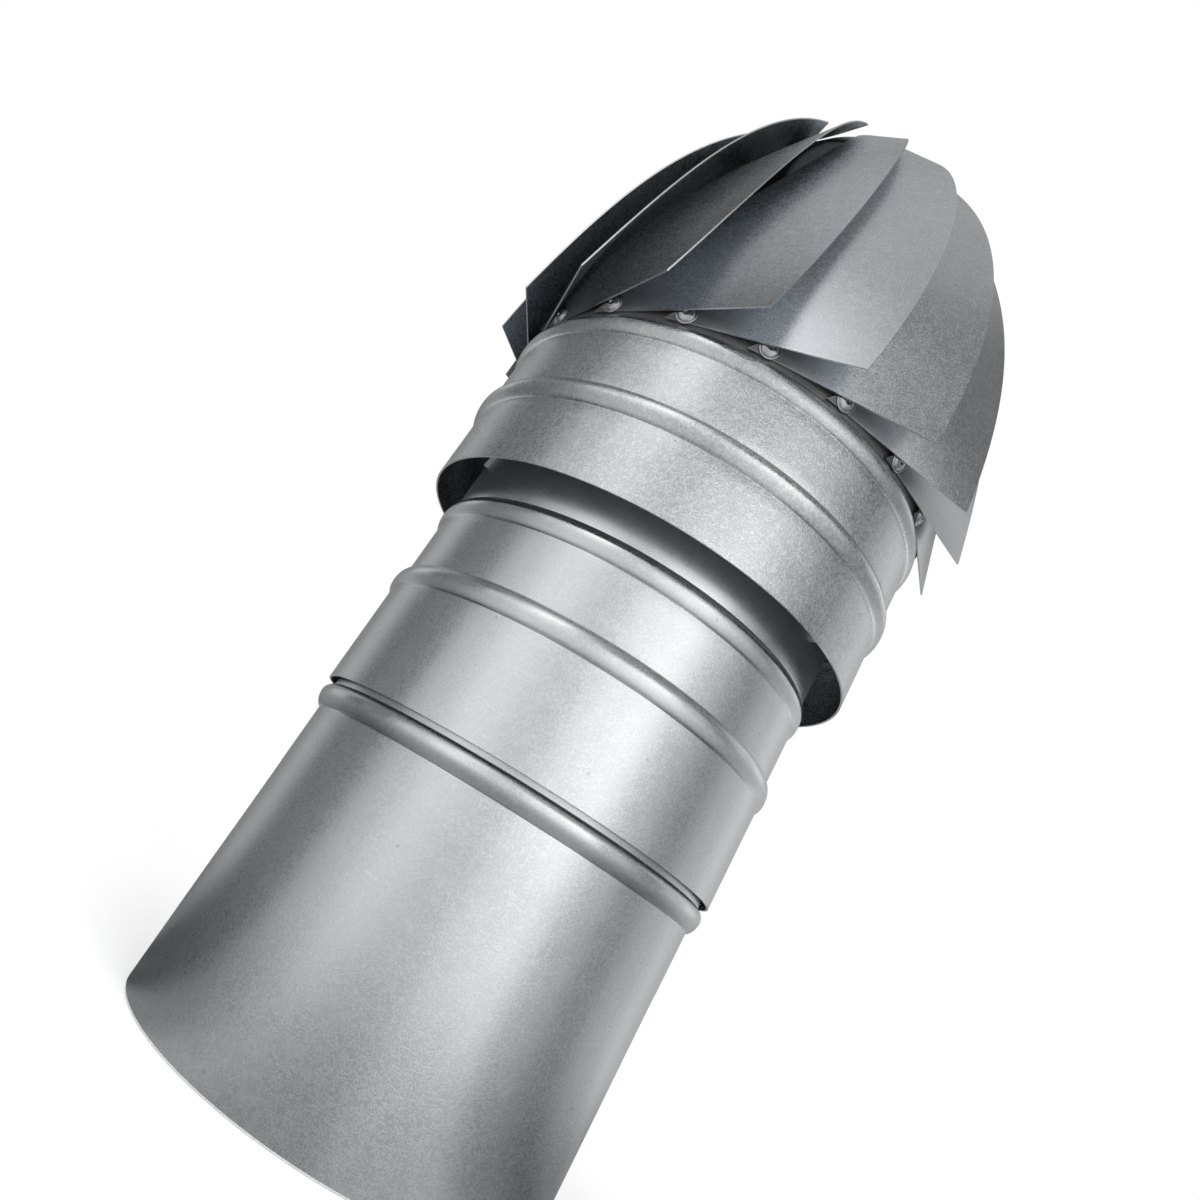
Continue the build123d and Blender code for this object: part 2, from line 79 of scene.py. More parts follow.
# Floor, white surround and studio light.
# A white floor that keeps the shadow, a white world, two large soft lamps, and a tent of grey and white
# cloth round the set that only the metal's reflections see.
def put_mesh(name, points, faces, smooth=True):
    """New object at the origin from an array of points (n, 3) in metres and an array of faces (m, 4)."""
    mesh = bpy.data.meshes.new(name)
    mesh.vertices.add(len(points))
    mesh.vertices.foreach_set("co", np.asarray(points, float).ravel())
    mesh.loops.add(faces.size)
    mesh.loops.foreach_set("vertex_index", faces.ravel().astype(np.int32))
    mesh.polygons.add(len(faces))
    mesh.polygons.foreach_set("loop_start", np.arange(len(faces), dtype=np.int32) * faces.shape[1])
    mesh.polygons.foreach_set("use_smooth", np.full(len(faces), smooth))
    mesh.update(calc_edges=True)
    piece = bpy.data.objects.new(name, mesh)
    bpy.context.collection.objects.link(piece)
    return piece


def grid_faces(rows, columns, wrap_rows=False, wrap_columns=False):
    """Quads of a grid whose points are numbered row by row: each joins a point, the next in its row,
    and the two beside them in the next row. Either direction can close on itself."""
    r = np.arange(rows if wrap_rows else rows - 1)
    c = np.arange(columns if wrap_columns else columns - 1)
    r, c = np.meshgrid(r, c, indexing="ij")
    after_r, after_c = (r + 1) % rows, (c + 1) % columns
    quads = [r * columns + c, r * columns + after_c, after_r * columns + after_c, after_r * columns + c]
    return np.stack(quads, axis=-1).reshape(-1, 4)


def add_node(tree, kind, label="", **settings):
    """One shader node with its settings; those that are names of inputs set the input's value."""
    node = tree.nodes.new(kind)
    if label:
        node.label = label
    for key, value in settings.items():
        name = key.replace("_", " ").title()
        if name in node.inputs:
            node.inputs[name].default_value = value
        else:
            setattr(node, key, value)
    return node


def new_material(name):
    """Empty node material and its output node."""
    material = bpy.data.materials.new(name)
    material.use_nodes = True
    material.node_tree.nodes.clear()
    out = material.node_tree.nodes.new("ShaderNodeOutputMaterial")
    return material, material.node_tree, out


def seen_directly(tree):
    """Socket that is 1 for what the camera sees directly, in a mirror or through glass."""
    path = tree.nodes.new("ShaderNodeLightPath")
    either = add_node(tree, "ShaderNodeMath", operation="MAXIMUM")
    tree.links.new(path.outputs["Is Camera Ray"], either.inputs[0])
    tree.links.new(path.outputs["Is Glossy Ray"], either.inputs[1])
    all_three = add_node(tree, "ShaderNodeMath", operation="MAXIMUM")
    tree.links.new(either.outputs[0], all_three.inputs[0])
    tree.links.new(path.outputs["Is Transmission Ray"], all_three.inputs[1])
    return all_three.outputs[0]


FLOOR_HALF, FLOOR_DROP = 6.0, 0.2 * MM
FLOOR_COLOUR = (0.86, 0.86, 0.86, 1.0)
FLOOR_GLOW, GLOW_STARTS, ALL_WHITE_FROM = 0.3, 0.35, 1.3
corners = np.array([[-1, -1, 0], [1, -1, 0], [1, 1, 0], [-1, 1, 0]]) * FLOOR_HALF
floor = put_mesh("floor", corners, np.array([[0, 1, 2, 3]]), smooth=False)
floor.location.z = -FLOOR_DROP
material, tree, out = new_material("white_floor")
matt = add_node(tree, "ShaderNodeBsdfDiffuse", color=FLOOR_COLOUR)
glow = add_node(tree, "ShaderNodeEmission")
where = tree.nodes.new("ShaderNodeTexCoord")
far = add_node(tree, "ShaderNodeVectorMath", operation="LENGTH")
whiten = tree.nodes.new("ShaderNodeMapRange")
for socket, value in zip(whiten.inputs[1:5], (GLOW_STARTS, ALL_WHITE_FROM, FLOOR_GLOW, 1.0)):
    socket.default_value = value
tree.links.new(where.outputs["Object"], far.inputs[0])
tree.links.new(far.outputs["Value"], whiten.inputs["Value"])
tree.links.new(whiten.outputs["Result"], glow.inputs["Strength"])
both = tree.nodes.new("ShaderNodeAddShader")
tree.links.new(matt.outputs[0], both.inputs[0])
tree.links.new(glow.outputs[0], both.inputs[1])
choose = tree.nodes.new("ShaderNodeMixShader")
tree.links.new(seen_directly(tree), choose.inputs[0])
tree.links.new(matt.outputs[0], choose.inputs[1])
tree.links.new(both.outputs[0], choose.inputs[2])
tree.links.new(choose.outputs[0], out.inputs["Surface"])
floor.data.materials.append(material)

FILL_LIGHT = 0.6
world = bpy.data.worlds.new("white_surround")
bpy.context.scene.world = world
world.use_nodes = True
tree = world.node_tree
tree.nodes.clear()
out = tree.nodes.new("ShaderNodeOutputWorld")
fill = add_node(tree, "ShaderNodeBackground", strength=FILL_LIGHT)
white = add_node(tree, "ShaderNodeBackground", strength=1.0)
fill.inputs["Color"].default_value = white.inputs["Color"].default_value = (1, 1, 1, 1)
choose = tree.nodes.new("ShaderNodeMixShader")
tree.links.new(seen_directly(tree), choose.inputs[0])
tree.links.new(fill.outputs[0], choose.inputs[1])
tree.links.new(white.outputs[0], choose.inputs[2])
tree.links.new(choose.outputs[0], out.inputs["Surface"])

# Each lamp's place and width in metres, and its power in watts. Both point at the neck.
SOFT_LAMPS = {"front_right": ((0.9, -1.5, 1.1), 1.0, 16.0), "overhead": ((-0.3, -0.4, 2.2), 1.2, 14.0)}
LAMP_AIM = np.array([0, 0, 0.22])
for name, (place, size, power) in SOFT_LAMPS.items():
    lamp = bpy.data.lights.new(name, "AREA")
    lamp.size = size
    lamp.energy = power
    aim = LAMP_AIM - np.array(place)
    aim /= np.linalg.norm(aim)
    side = np.cross(aim, [0, 0, 1])
    side /= np.linalg.norm(side)
    stand(name, lamp, side, np.cross(side, aim), -aim, place)

# The tent is a ball whose lower part lies on the floor as its foot. Below the hem angle each cloth runs on
# over the foot, which gets darker towards the pipe.
TENT_MIDDLE, TENT_RADIUS = np.array([0.0, 0.0, 0.2]), 0.75
TENT_TURNS, TENT_RINGS = 180, 91
TENT_POLE, HEM_ANGLE = 89.9, -4
TENT_SHADE, DARKEST_CLOTH, LIGHTEST_CLOTH = 0.41, 0.02, 2.0
TENT_HEM, TENT_FOOT_SHADE = 0.4 * MM, 0.4
FOOT_SHADE_FROM, FOOT_SHADE_WIDTH = 0.18, 0.3
# Each cloth: azimuth and elevation of its middle and its half widths in degrees, and how much brighter or
# darker it is than the tent.
TENT_CLOTHS = [
    (-124, 10, 14, 30, 0.64), (-100, 8, 12, 30, 0.36), (-76, 8, 12, 21, 0.68), (-55, 8, 11, 21, 0.87),
    (-33, 8, 11, 30, 0.16), (-11, 8, 12, 30, -0.14), (10, 8, 10, 30, 0.16), (32, 8, 11, 30, 0.38),
    (54, 8, 12, 30, 0.11), (76, 8, 12, 30, -0.17), (100, 8, 14, 30, -0.08), (128, 8, 14, 30, -0.16),
    (150, 8, 12, 30, 0.13), (170, 8, 11, 30, -0.25), (-168, 8, 11, 30, -0.21), (-148, 8, 11, 30, 0.27),
    (-120, 50, 22, 16, 0.19), (-60, 50, 22, 16, -0.24), (0, 50, 22, 16, -0.19), (60, 50, 22, 16, -0.51),
    (120, 50, 22, 16, -0.23), (180, 50, 22, 16, -0.24), (-120, 74, 20, 10, 0.11), (120, 74, 20, 10, -0.11),
    (-121, 41, 10, 14, 0.5), (-20, 40, 14, 11, -0.08), (24, 37, 13, 10, 0.3),
]


def directions(azimuth, elevation):
    """Unit vectors of azimuths and elevations in degrees."""
    a, e = np.radians(azimuth), np.radians(elevation)
    return np.stack([np.cos(e) * np.cos(a), np.cos(e) * np.sin(a), np.sin(e)], axis=-1)


def cloth_share(ways, azimuth, elevation, half_turn, half_rise):
    """How fully each direction falls on a cloth: 1 in its middle, fading out past its half widths. The two
    angles from the middle are taken sideways and upwards, as seen from the middle of the tent."""
    middle = directions(azimuth, elevation)
    sideways = directions(azimuth + 90, 0)
    above = np.cross(middle, sideways)
    turned = np.degrees(np.arctan2(ways @ sideways, ways @ middle))
    raised = np.degrees(np.arcsin(np.clip(ways @ above, -1, 1)))
    return np.exp(-((turned / half_turn) ** 4) - (raised / half_rise) ** 4)


turn, rise = np.meshgrid(
    np.linspace(-180, 180, TENT_TURNS + 1)[:-1], np.linspace(-TENT_POLE, TENT_POLE, TENT_RINGS),
    indexing="ij")
hanging = directions(turn, np.maximum(rise, HEM_ANGLE))
cloth = TENT_SHADE + sum(cloth_share(hanging, *shape) * change for *shape, change in TENT_CLOTHS)
cloth = np.clip(cloth, DARKEST_CLOTH, LIGHTEST_CLOTH)
tent_points = TENT_MIDDLE + TENT_RADIUS * directions(turn, rise)
tent_points[:, :, 2] = np.maximum(tent_points[:, :, 2], TENT_HEM)
from_axis = np.hypot(tent_points[:, :, 0], tent_points[:, :, 1])
outward = np.clip((from_axis - FOOT_SHADE_FROM) / FOOT_SHADE_WIDTH, 0, 1)
cloth = np.where(rise < 0, cloth * (TENT_FOOT_SHADE + (1 - TENT_FOOT_SHADE) * outward), cloth)
tent = put_mesh("tent", tent_points.reshape(-1, 3), grid_faces(TENT_TURNS, TENT_RINGS, wrap_rows=True))
shades = tent.data.attributes.new("cloth", "FLOAT_COLOR", "POINT")
shades.data.foreach_set("color", np.stack([cloth, cloth, cloth, np.ones_like(cloth)], axis=-1).ravel())
material, tree, out = new_material("tent_cloth")
shade = add_node(tree, "ShaderNodeAttribute", attribute_name="cloth")
glow = add_node(tree, "ShaderNodeEmission", strength=1.0)
tree.links.new(shade.outputs["Color"], glow.inputs["Color"])
tree.links.new(glow.outputs[0], out.inputs["Surface"])
tent.data.materials.append(material)
tent.visible_camera = tent.visible_diffuse = tent.visible_shadow = False
tent.visible_transmission = tent.visible_volume_scatter = False


# Duct pipe.
# Galvanised sheet rolled to a tube, butt-welded at the back, with one swaged bead that stops the sleeve.
# Its zinc skin has fine worm-like grain, faint spangle and handling scratches, and its bead a painted
# highlight and painted shade.
CELL_SCALE, CLOUD_SCALE, SCRATCH_PATCH_SCALE = 230.0, 16.0, 45.0
WORM_WIDTH, SCRATCH_WIDTH = 0.07, 0.018
SCRATCH_DRAW, SCRATCH_LEAN, SCRATCHED_ABOVE = (60.0, 60.0, 1500.0), (0.25, 0.18, 0.0), 0.56
SPECK_SIZE, SPECKED_ABOVE = 0.13, 0.9
POLISH_SMOOTHS, RELIEF_STRENGTH = -0.25, 0.35


def zinc_skin_group():
    """Node group for galvanised sheet. Worms: thin lines where a distorted noise crosses its middle value.
    Spangle: one random tone for each cell of a Voronoi pattern. Scratches: the same thin lines of a noise
    drawn out along one direction. Clouds: a wide soft noise. Specks: the middles of some of the cells."""
    group = bpy.data.node_groups.new("zinc_skin", "ShaderNodeTree")
    face = group.interface
    for name, value in (
        ("Grain Scale", 700.0), ("Grain", 0.12), ("Spangle", 0.06), ("Scratches", 0.1), ("Clouds", 0.1),
        ("Specks", 0.2),
    ):
        face.new_socket(name, in_out="INPUT", socket_type="NodeSocketFloat").default_value = value
    face.new_socket("Base", in_out="INPUT", socket_type="NodeSocketColor")
    for name, kind in (
        ("Color", "NodeSocketColor"), ("Polish", "NodeSocketFloat"), ("Height", "NodeSocketFloat"),
    ):
        face.new_socket(name, in_out="OUTPUT", socket_type=kind)
    inside = group.nodes.new("NodeGroupInput")
    result = group.nodes.new("NodeGroupOutput")
    where = group.nodes.new("ShaderNodeTexCoord").outputs["Object"]

    def maths(operation, first, second=None, clamp=False):
        node = add_node(group, "ShaderNodeMath", operation=operation, use_clamp=clamp)
        for socket, value in zip(node.inputs, (first, second)):
            if isinstance(value, (int, float)):
                socket.default_value = value
            elif value is not None:
                group.links.new(value, socket)
        return node.outputs[0]

    def noise(scale, detail, distortion=0.0, vector=None):
        node = add_node(group, "ShaderNodeTexNoise", detail=detail, distortion=distortion)
        group.links.new(where if vector is None else vector, node.inputs["Vector"])
        if isinstance(scale, float):
            node.inputs["Scale"].default_value = scale
        else:
            group.links.new(scale, node.inputs["Scale"])
        return node.outputs["Fac"]

    def thin_lines(value, width):
        off_middle = maths("ABSOLUTE", maths("SUBTRACT", value, 0.5))
        return maths("SUBTRACT", 1.0, maths("DIVIDE", off_middle, width), clamp=True)

    worms = thin_lines(noise(inside.outputs["Grain Scale"], 2.0, 1.2), WORM_WIDTH)
    cells = add_node(group, "ShaderNodeTexVoronoi", scale=CELL_SCALE)
    group.links.new(where, cells.inputs["Vector"])
    tone = group.nodes.new("ShaderNodeSeparateColor")
    group.links.new(cells.outputs["Color"], tone.inputs[0])
    clouds = noise(CLOUD_SCALE, 4.0, 0.4)
    drawn = add_node(group, "ShaderNodeMapping")
    drawn.inputs["Scale"].default_value = SCRATCH_DRAW
    drawn.inputs["Rotation"].default_value = SCRATCH_LEAN
    group.links.new(where, drawn.inputs["Vector"])
    scratches = maths(
        "MULTIPLY", thin_lines(noise(1.0, 1.0, 0.0, drawn.outputs[0]), SCRATCH_WIDTH),
        maths("GREATER_THAN", noise(SCRATCH_PATCH_SCALE, 1.0), SCRATCHED_ABOVE))
    specks = maths(
        "MULTIPLY", maths("LESS_THAN", cells.outputs["Distance"], SPECK_SIZE),
        maths("GREATER_THAN", tone.outputs[2], SPECKED_ABOVE))
    tone_off, cloud_off = maths("SUBTRACT", tone.outputs[0], 0.5), maths("SUBTRACT", clouds, 0.5)

    total = maths("MULTIPLY", maths("SUBTRACT", worms, 0.35), inside.outputs["Grain"])
    total = maths("SUBTRACT", total, maths("MULTIPLY", specks, inside.outputs["Specks"]))
    total = maths("ADD", total, maths("MULTIPLY", tone_off, inside.outputs["Spangle"]))
    total = maths("ADD", total, maths("MULTIPLY", cloud_off, inside.outputs["Clouds"]))
    total = maths("ADD", total, maths("MULTIPLY", scratches, inside.outputs["Scratches"]))
    factor = maths("ADD", 1.0, total)
    tinted = add_node(group, "ShaderNodeVectorMath", operation="SCALE")
    group.links.new(inside.outputs["Base"], tinted.inputs[0])
    group.links.new(factor, tinted.inputs["Scale"])
    group.links.new(tinted.outputs[0], result.inputs["Color"])
    polish = maths("ADD", maths("MULTIPLY", cloud_off, -0.05), maths("MULTIPLY", worms, 0.06))
    polish = maths("ADD", polish, maths("MULTIPLY", tone_off, 0.015))
    group.links.new(maths("SUBTRACT", polish, maths("MULTIPLY", scratches, 0.08)), result.inputs["Polish"])
    height = maths("ADD", maths("MULTIPLY", worms, 0.8), maths("MULTIPLY", clouds, 0.2))
    group.links.new(maths("SUBTRACT", height, maths("MULTIPLY", scratches, 0.5)), result.inputs["Height"])
    return group


zinc_skin = zinc_skin_group()


def galvanised(name, base, roughness, grain_scale=700.0, grain=0.12, spangle=0.06, scratches=0.1, clouds=0.05,
               relief=0.02, polish_and_painted_light_attribute="", bright=0.25):
    """Galvanised steel in its own tone. Where a piece's polish attribute is above 0, the metal is smoother
    and lighter: painted highlight on a rolled bead, and a bright cut edge. Below 0 it is rougher and darker
    as painted shade, on a bead's flanks, under the rotor and the blades and in the crown's rim."""
    material, tree, out = new_material(name)
    skin = add_node(tree, "ShaderNodeGroup", node_tree=zinc_skin)
    for socket, value in (
        ("Grain Scale", grain_scale), ("Grain", grain), ("Spangle", spangle), ("Scratches", scratches),
        ("Clouds", clouds), ("Base", (*base, 1.0)),
    ):
        skin.inputs[socket].default_value = value
    metal = add_node(tree, "ShaderNodeBsdfPrincipled", metallic=1.0)
    rough = add_node(tree, "ShaderNodeMath", operation="ADD", use_clamp=True)
    rough.inputs[1].default_value = roughness
    tree.links.new(skin.outputs["Polish"], rough.inputs[0])
    colour, finish = skin.outputs["Color"], rough.outputs[0]
    # The polish attribute scales the colour: painted highlight where it is above 0, painted shade where
    # below.
    if polish_and_painted_light_attribute:
        mask = add_node(tree, "ShaderNodeAttribute", attribute_name=polish_and_painted_light_attribute)
        amount = add_node(tree, "ShaderNodeMath", operation="MULTIPLY_ADD")
        amount.inputs[1].default_value, amount.inputs[2].default_value = bright, 1.0
        tree.links.new(mask.outputs["Fac"], amount.inputs[0])
        lighter = add_node(tree, "ShaderNodeVectorMath", operation="SCALE")
        tree.links.new(amount.outputs[0], lighter.inputs["Scale"])
        tree.links.new(colour, lighter.inputs[0])
        smoother = add_node(tree, "ShaderNodeMath", operation="MULTIPLY_ADD", use_clamp=True)
        smoother.inputs[1].default_value = POLISH_SMOOTHS
        tree.links.new(mask.outputs["Fac"], smoother.inputs[0])
        tree.links.new(finish, smoother.inputs[2])
        colour, finish = lighter.outputs[0], smoother.outputs[0]
    tree.links.new(colour, metal.inputs["Base Color"])
    tree.links.new(finish, metal.inputs["Roughness"])
    bump = add_node(tree, "ShaderNodeBump", strength=RELIEF_STRENGTH, distance=relief * MM)
    tree.links.new(skin.outputs["Height"], bump.inputs["Height"])
    tree.links.new(bump.outputs[0], metal.inputs["Normal"])
    tree.links.new(metal.outputs[0], out.inputs["Surface"])
    return material


# Places and widths on a bead are shares of the way from its lower foot to its upper foot.
BEAD_CREST, BEAD_ARCH, BEAD_SHRINK = 0.62, 0.7, 0.985
GROOVE_DEPTH, GROOVE_PLACE, GROOVE_WIDTH = 0.08, 0.02, 0.025
# Painted highlight on a bead's crest and lower foot, and painted shade on its flanks, as values of the polish
# attribute.
CREST_POLISH_AND_HIGHLIGHT, CREST_PLACE, CREST_WIDTH = 1.1, 0.6, 0.15
FLANK_DULL_AND_SHADE, FOOT_POLISH_AND_HIGHLIGHT, FOOT_WIDTH = 0.5, 0.9, 0.05


def swage(low, high, height, lines=26):
    """Half section of a swaged bead from its lower foot to its upper foot, as radius, height and polish with
    painted light. The wall goes over from one radius to the other. The bead's rise is a flattened arch on
    each side of its crest, steep at both feet, and each foot has a fine groove. The middle and the lower foot
    get a painted highlight, lighter and smoother, and the flanks painted shade, darker and rougher."""
    part = (1 - np.cos(np.linspace(0, np.pi, lines))) / 2
    below, above = (BEAD_CREST - part) / BEAD_CREST, (part - BEAD_CREST) / (1 - BEAD_CREST)
    rise_here = (1 - np.where(part < BEAD_CREST, below, above) ** 2) ** BEAD_ARCH
    over = part * part * (3 - 2 * part)
    groove = sum(np.exp(-((part - place) / GROOVE_WIDTH) ** 2) for place in (GROOVE_PLACE, 1 - GROOVE_PLACE))
    radius = low[0] + (high[0] - low[0]) * over + height * rise_here * BEAD_SHRINK - GROOVE_DEPTH * groove
    polish = CREST_POLISH_AND_HIGHLIGHT * np.exp(-((part - CREST_PLACE) / CREST_WIDTH) ** 2)
    polish += FOOT_POLISH_AND_HIGHLIGHT * np.exp(-(part / FOOT_WIDTH) ** 2) - FLANK_DULL_AND_SHADE * rise_here
    return np.stack([radius, low[1] + (high[1] - low[1]) * part, polish], axis=1)


STRAIGHT_LINES, STRAIGHT_INSET = 7, 0.25
RIM_INSET, RIM_POLISH = 0.04, 0.3


def wall_section(stretches, bead_height):
    """Half section of a rolled tube: straight stretches (radius, bottom, top) with a bead between each
    two. Its two cut rims are bright."""
    rows = []
    for k, (radius, bottom, top) in enumerate(stretches):
        if k:
            rows.append(swage((stretches[k - 1][0], stretches[k - 1][2]), (radius, bottom), bead_height))
        heights = np.linspace(bottom + STRAIGHT_INSET, top - STRAIGHT_INSET, STRAIGHT_LINES)
        rows.append(np.stack([np.full(STRAIGHT_LINES, radius), heights, np.zeros(STRAIGHT_LINES)], axis=1))
    (low_radius, low_end, _), (high_radius, _, high_end) = stretches[0], stretches[-1]
    rows[0] = np.vstack([[low_radius, low_end + RIM_INSET, RIM_POLISH], rows[0]])
    rows[-1] = np.vstack([rows[-1], [high_radius, high_end - RIM_INSET, RIM_POLISH]])
    return np.vstack(rows)


SEAM_AZIMUTH, SEAM_WIDTH, SEAM_STEP = 90.0, 9.0, 0.06
TUBE_TURNS, TUBE_CRISP = 300, 50


def rolled_tube(name, section, sheet, seam_top=None):
    """Sheet tube turned from its half section: out and up the outside, over the rim, down the inside.
    Where the seam laps, the outside stands one sheet further out, up to the seam's top."""
    azimuth = np.linspace(0, 360, TUBE_TURNS, endpoint=False)
    if seam_top:
        half = math.degrees(SEAM_WIDTH / 2 / section[0, 0])
        steps = [SEAM_AZIMUTH + side * (half + step) for side in (-1, 1) for step in (-SEAM_STEP, SEAM_STEP)]
        azimuth = np.sort(np.concatenate([azimuth, steps]))
    radius = np.concatenate([section[:, 0], section[::-1, 0] - sheet])
    height = np.concatenate([section[:, 1], section[::-1, 1]])
    polish = np.concatenate([section[:, 2], section[::-1, 2]])
    outside = np.concatenate([np.ones(len(section)), np.zeros(len(section))])
    a, r = np.meshgrid(np.radians(azimuth), radius, indexing="ij")
    z = np.broadcast_to(height, a.shape)
    if seam_top:
        lapped = (np.abs(azimuth - SEAM_AZIMUTH) <= half)[:, None] * (height < seam_top)[None, :]
        r = r + sheet * lapped * outside
    points = np.stack([r * np.cos(a), r * np.sin(a), z], axis=-1).reshape(-1, 3) * MM
    tube = put_mesh(name, points, grid_faces(len(azimuth), len(radius), True, True))
    mask = tube.data.attributes.new("polish", "FLOAT", "POINT")
    mask.data.foreach_set("value", np.broadcast_to(polish, a.shape).ravel().astype(np.float32))
    crisp_edges(tube, TUBE_CRISP)
    return tube


def crisp_edges(piece, angle):
    """Edges that turn by more than the angle stay sharp in the shading, and faces point outwards."""
    work = bmesh.new()
    work.from_mesh(piece.data)
    bmesh.ops.remove_doubles(work, verts=work.verts, dist=1e-7)
    bmesh.ops.recalc_face_normals(work, faces=work.faces)
    for edge in work.edges:
        edge.smooth = not (len(edge.link_faces) == 2 and edge.calc_face_angle() > math.radians(angle))
    work.to_mesh(piece.data)
    work.free()
    piece.data.update()


SHEET = 0.7
PIPE_RADIUS = 75.0
PIPE_TOP, PIPE_BEAD_RISE = 137.8, 2.7
pipe_stretches = [(PIPE_RADIUS, 0.0, 97.3), (PIPE_RADIUS, 105.8, PIPE_TOP)]
pipe = rolled_tube("pipe_sheet", wall_section(pipe_stretches, PIPE_BEAD_RISE), SHEET)
pipe.data.materials.append(galvanised(
    "pipe_zinc", (0.66, 0.675, 0.69), 0.27, grain=0.14, spangle=0.03, polish_and_painted_light_attribute="polish", relief=0.03,
    bright=0.2))
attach(pipe, "stator")
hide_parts("duct_pipe")

# Neck sleeve.
# A wider galvanised tube that drops over the pipe: sleeve, waist and throat between two swaged beads,
# with a lapped seam at the back. It is riveted to the pipe, and its throat is darkened under the rotor as
# painted shade.
SLEEVE_RADIUS, WAIST_RADIUS, THROAT_RADIUS = 78.1, 77.0, 76.1
THROAT_RIM, WAIST_TOP, NECK_BEAD_RISE = 225.0, 175.0, 2.0
THROAT_PAINTED_SHADE, THROAT_SHADE_FROM, THROAT_SHADE_DEEPENS_OVER = -1.1, 184.5, 14.0
neck_stretches = [
    (SLEEVE_RADIUS, 107.4, 144.6), (WAIST_RADIUS, 153.6, WAIST_TOP), (THROAT_RADIUS, 184.0, THROAT_RIM),
]
neck_section = wall_section(neck_stretches, NECK_BEAD_RISE)
# Painted shade on the throat: darker and duller upwards from just above the top bead, under the skirt.
neck_section[:, 2] += THROAT_PAINTED_SHADE * np.clip((neck_section[:, 1] - THROAT_SHADE_FROM) / THROAT_SHADE_DEEPENS_OVER, 0, 1)
neck = rolled_tube("neck_sheet", neck_section, SHEET, seam_top=WAIST_TOP)
neck.data.materials.append(galvanised(
    "neck_zinc", (0.68, 0.695, 0.71), 0.25, grain=0.12, spangle=0.03, polish_and_painted_light_attribute="polish", relief=0.025,
    bright=0.2))
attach(neck, "stator")
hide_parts("neck_sleeve")

# Rubber seal between pipe and sleeve.
# A plain moulded ring, pushed over the pipe. Matt black with a little bloom.
material, tree, out = new_material("seal_rubber")
rubber = add_node(tree, "ShaderNodeBsdfPrincipled", roughness=0.75)
bloom = add_node(tree, "ShaderNodeTexNoise", scale=180.0, detail=4.0)
where = tree.nodes.new("ShaderNodeTexCoord")
tree.links.new(where.outputs["Object"], bloom.inputs["Vector"])
shades = tree.nodes.new("ShaderNodeValToRGB")
shades.color_ramp.elements[0].color = (0.012, 0.012, 0.013, 1)
shades.color_ramp.elements[1].color = (0.05, 0.05, 0.052, 1)
tree.links.new(bloom.outputs["Fac"], shades.inputs[0])
tree.links.new(shades.outputs[0], rubber.inputs["Base Color"])
tree.links.new(rubber.outputs[0], out.inputs["Surface"])


def dress(node, material):
    """Give a CAD node its finish."""
    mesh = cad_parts[node].data
    mesh.materials.clear()
    mesh.materials.append(material)


dress("pipe_seal", material)

# Blind rivets.
# Dulled zinc-plated steel with a domed head in a rolled ring, a hole where the pin broke off, and a
# formed tail behind the sheets.
HEAD_RADIUS, DOME_RADIUS, HEAD_RISE = 4.0, 3.15, 1.1
SHANK_RADIUS, TAIL_RADIUS, TAIL_LENGTH = 2.0, 2.9, 1.0
PIN_HOLE, DOME_FOOT, DOME_SWEEP = 0.9, 0.28, 1.45
RIVET_TURNS, TURNED_CRISP = 24, 55


def rivet_section(grip):
    """Half section of a rivet from the head's middle out and back along the shank to the tail's end.
    The dome is a quarter ellipse, and a fine groove parts it from the ring that the tool presses flat."""
    part = np.linspace(0, DOME_SWEEP, 9)
    dome = np.stack([
        PIN_HOLE + (DOME_RADIUS - PIN_HOLE) * np.sin(part),
        DOME_FOOT + (HEAD_RISE - DOME_FOOT) * np.cos(part),
    ], axis=1)
    pin = np.array([[0.0, HEAD_RISE - 0.55], [0.55, HEAD_RISE - 0.55], [0.75, HEAD_RISE - 0.1]])
    rim = np.array([
        [DOME_RADIUS + 0.12, 0.22], [DOME_RADIUS + 0.35, 0.4], [HEAD_RADIUS - 0.22, 0.36],
        [HEAD_RADIUS, 0.12], [HEAD_RADIUS, 0.0],
    ])
    back = np.array([
        [SHANK_RADIUS, -0.05], [SHANK_RADIUS, -grip], [TAIL_RADIUS, -grip - 0.15],
        [TAIL_RADIUS * 0.9, -grip - TAIL_LENGTH * 0.8], [TAIL_RADIUS * 0.55, -grip - TAIL_LENGTH],
        [0.0, -grip - TAIL_LENGTH],
    ])
    return np.vstack([pin, dome, rim, back])


def turned_piece(name, section, places, turns=RIVET_TURNS):
    """The same half section turned once at each place. A place is an origin and three directions (across,
    along, out); the section's radius turns in the first two and its height runs along the third."""
    angle = np.linspace(0, 2 * math.pi, turns, endpoint=False)
    ring = np.stack([np.cos(angle), np.sin(angle)], axis=1)
    local = np.concatenate([
        section[None, :, 0, None] * ring[:, None, :],
        np.broadcast_to(section[None, :, 1, None], (turns, len(section), 1)),
    ], axis=2).reshape(-1, 3)
    faces = grid_faces(turns, len(section), wrap_rows=True)
    points = [origin + local @ np.stack(axes) for origin, axes in places]
    every_face = np.vstack([faces + k * len(local) for k in range(len(places))])
    piece = put_mesh(name, np.vstack(points) * MM, every_face)
    crisp_edges(piece, TURNED_CRISP)
    return piece


def radial_place(azimuth, radius, height):
    """Place whose out direction is the radius at an azimuth."""
    a = math.radians(azimuth)
    out_way = np.array([math.cos(a), math.sin(a), 0.0])
    side = np.array([-math.sin(a), math.cos(a), 0.0])
    return out_way * radius + np.array([0, 0, height]), (side, np.array([0.0, 0.0, 1.0]), out_way)


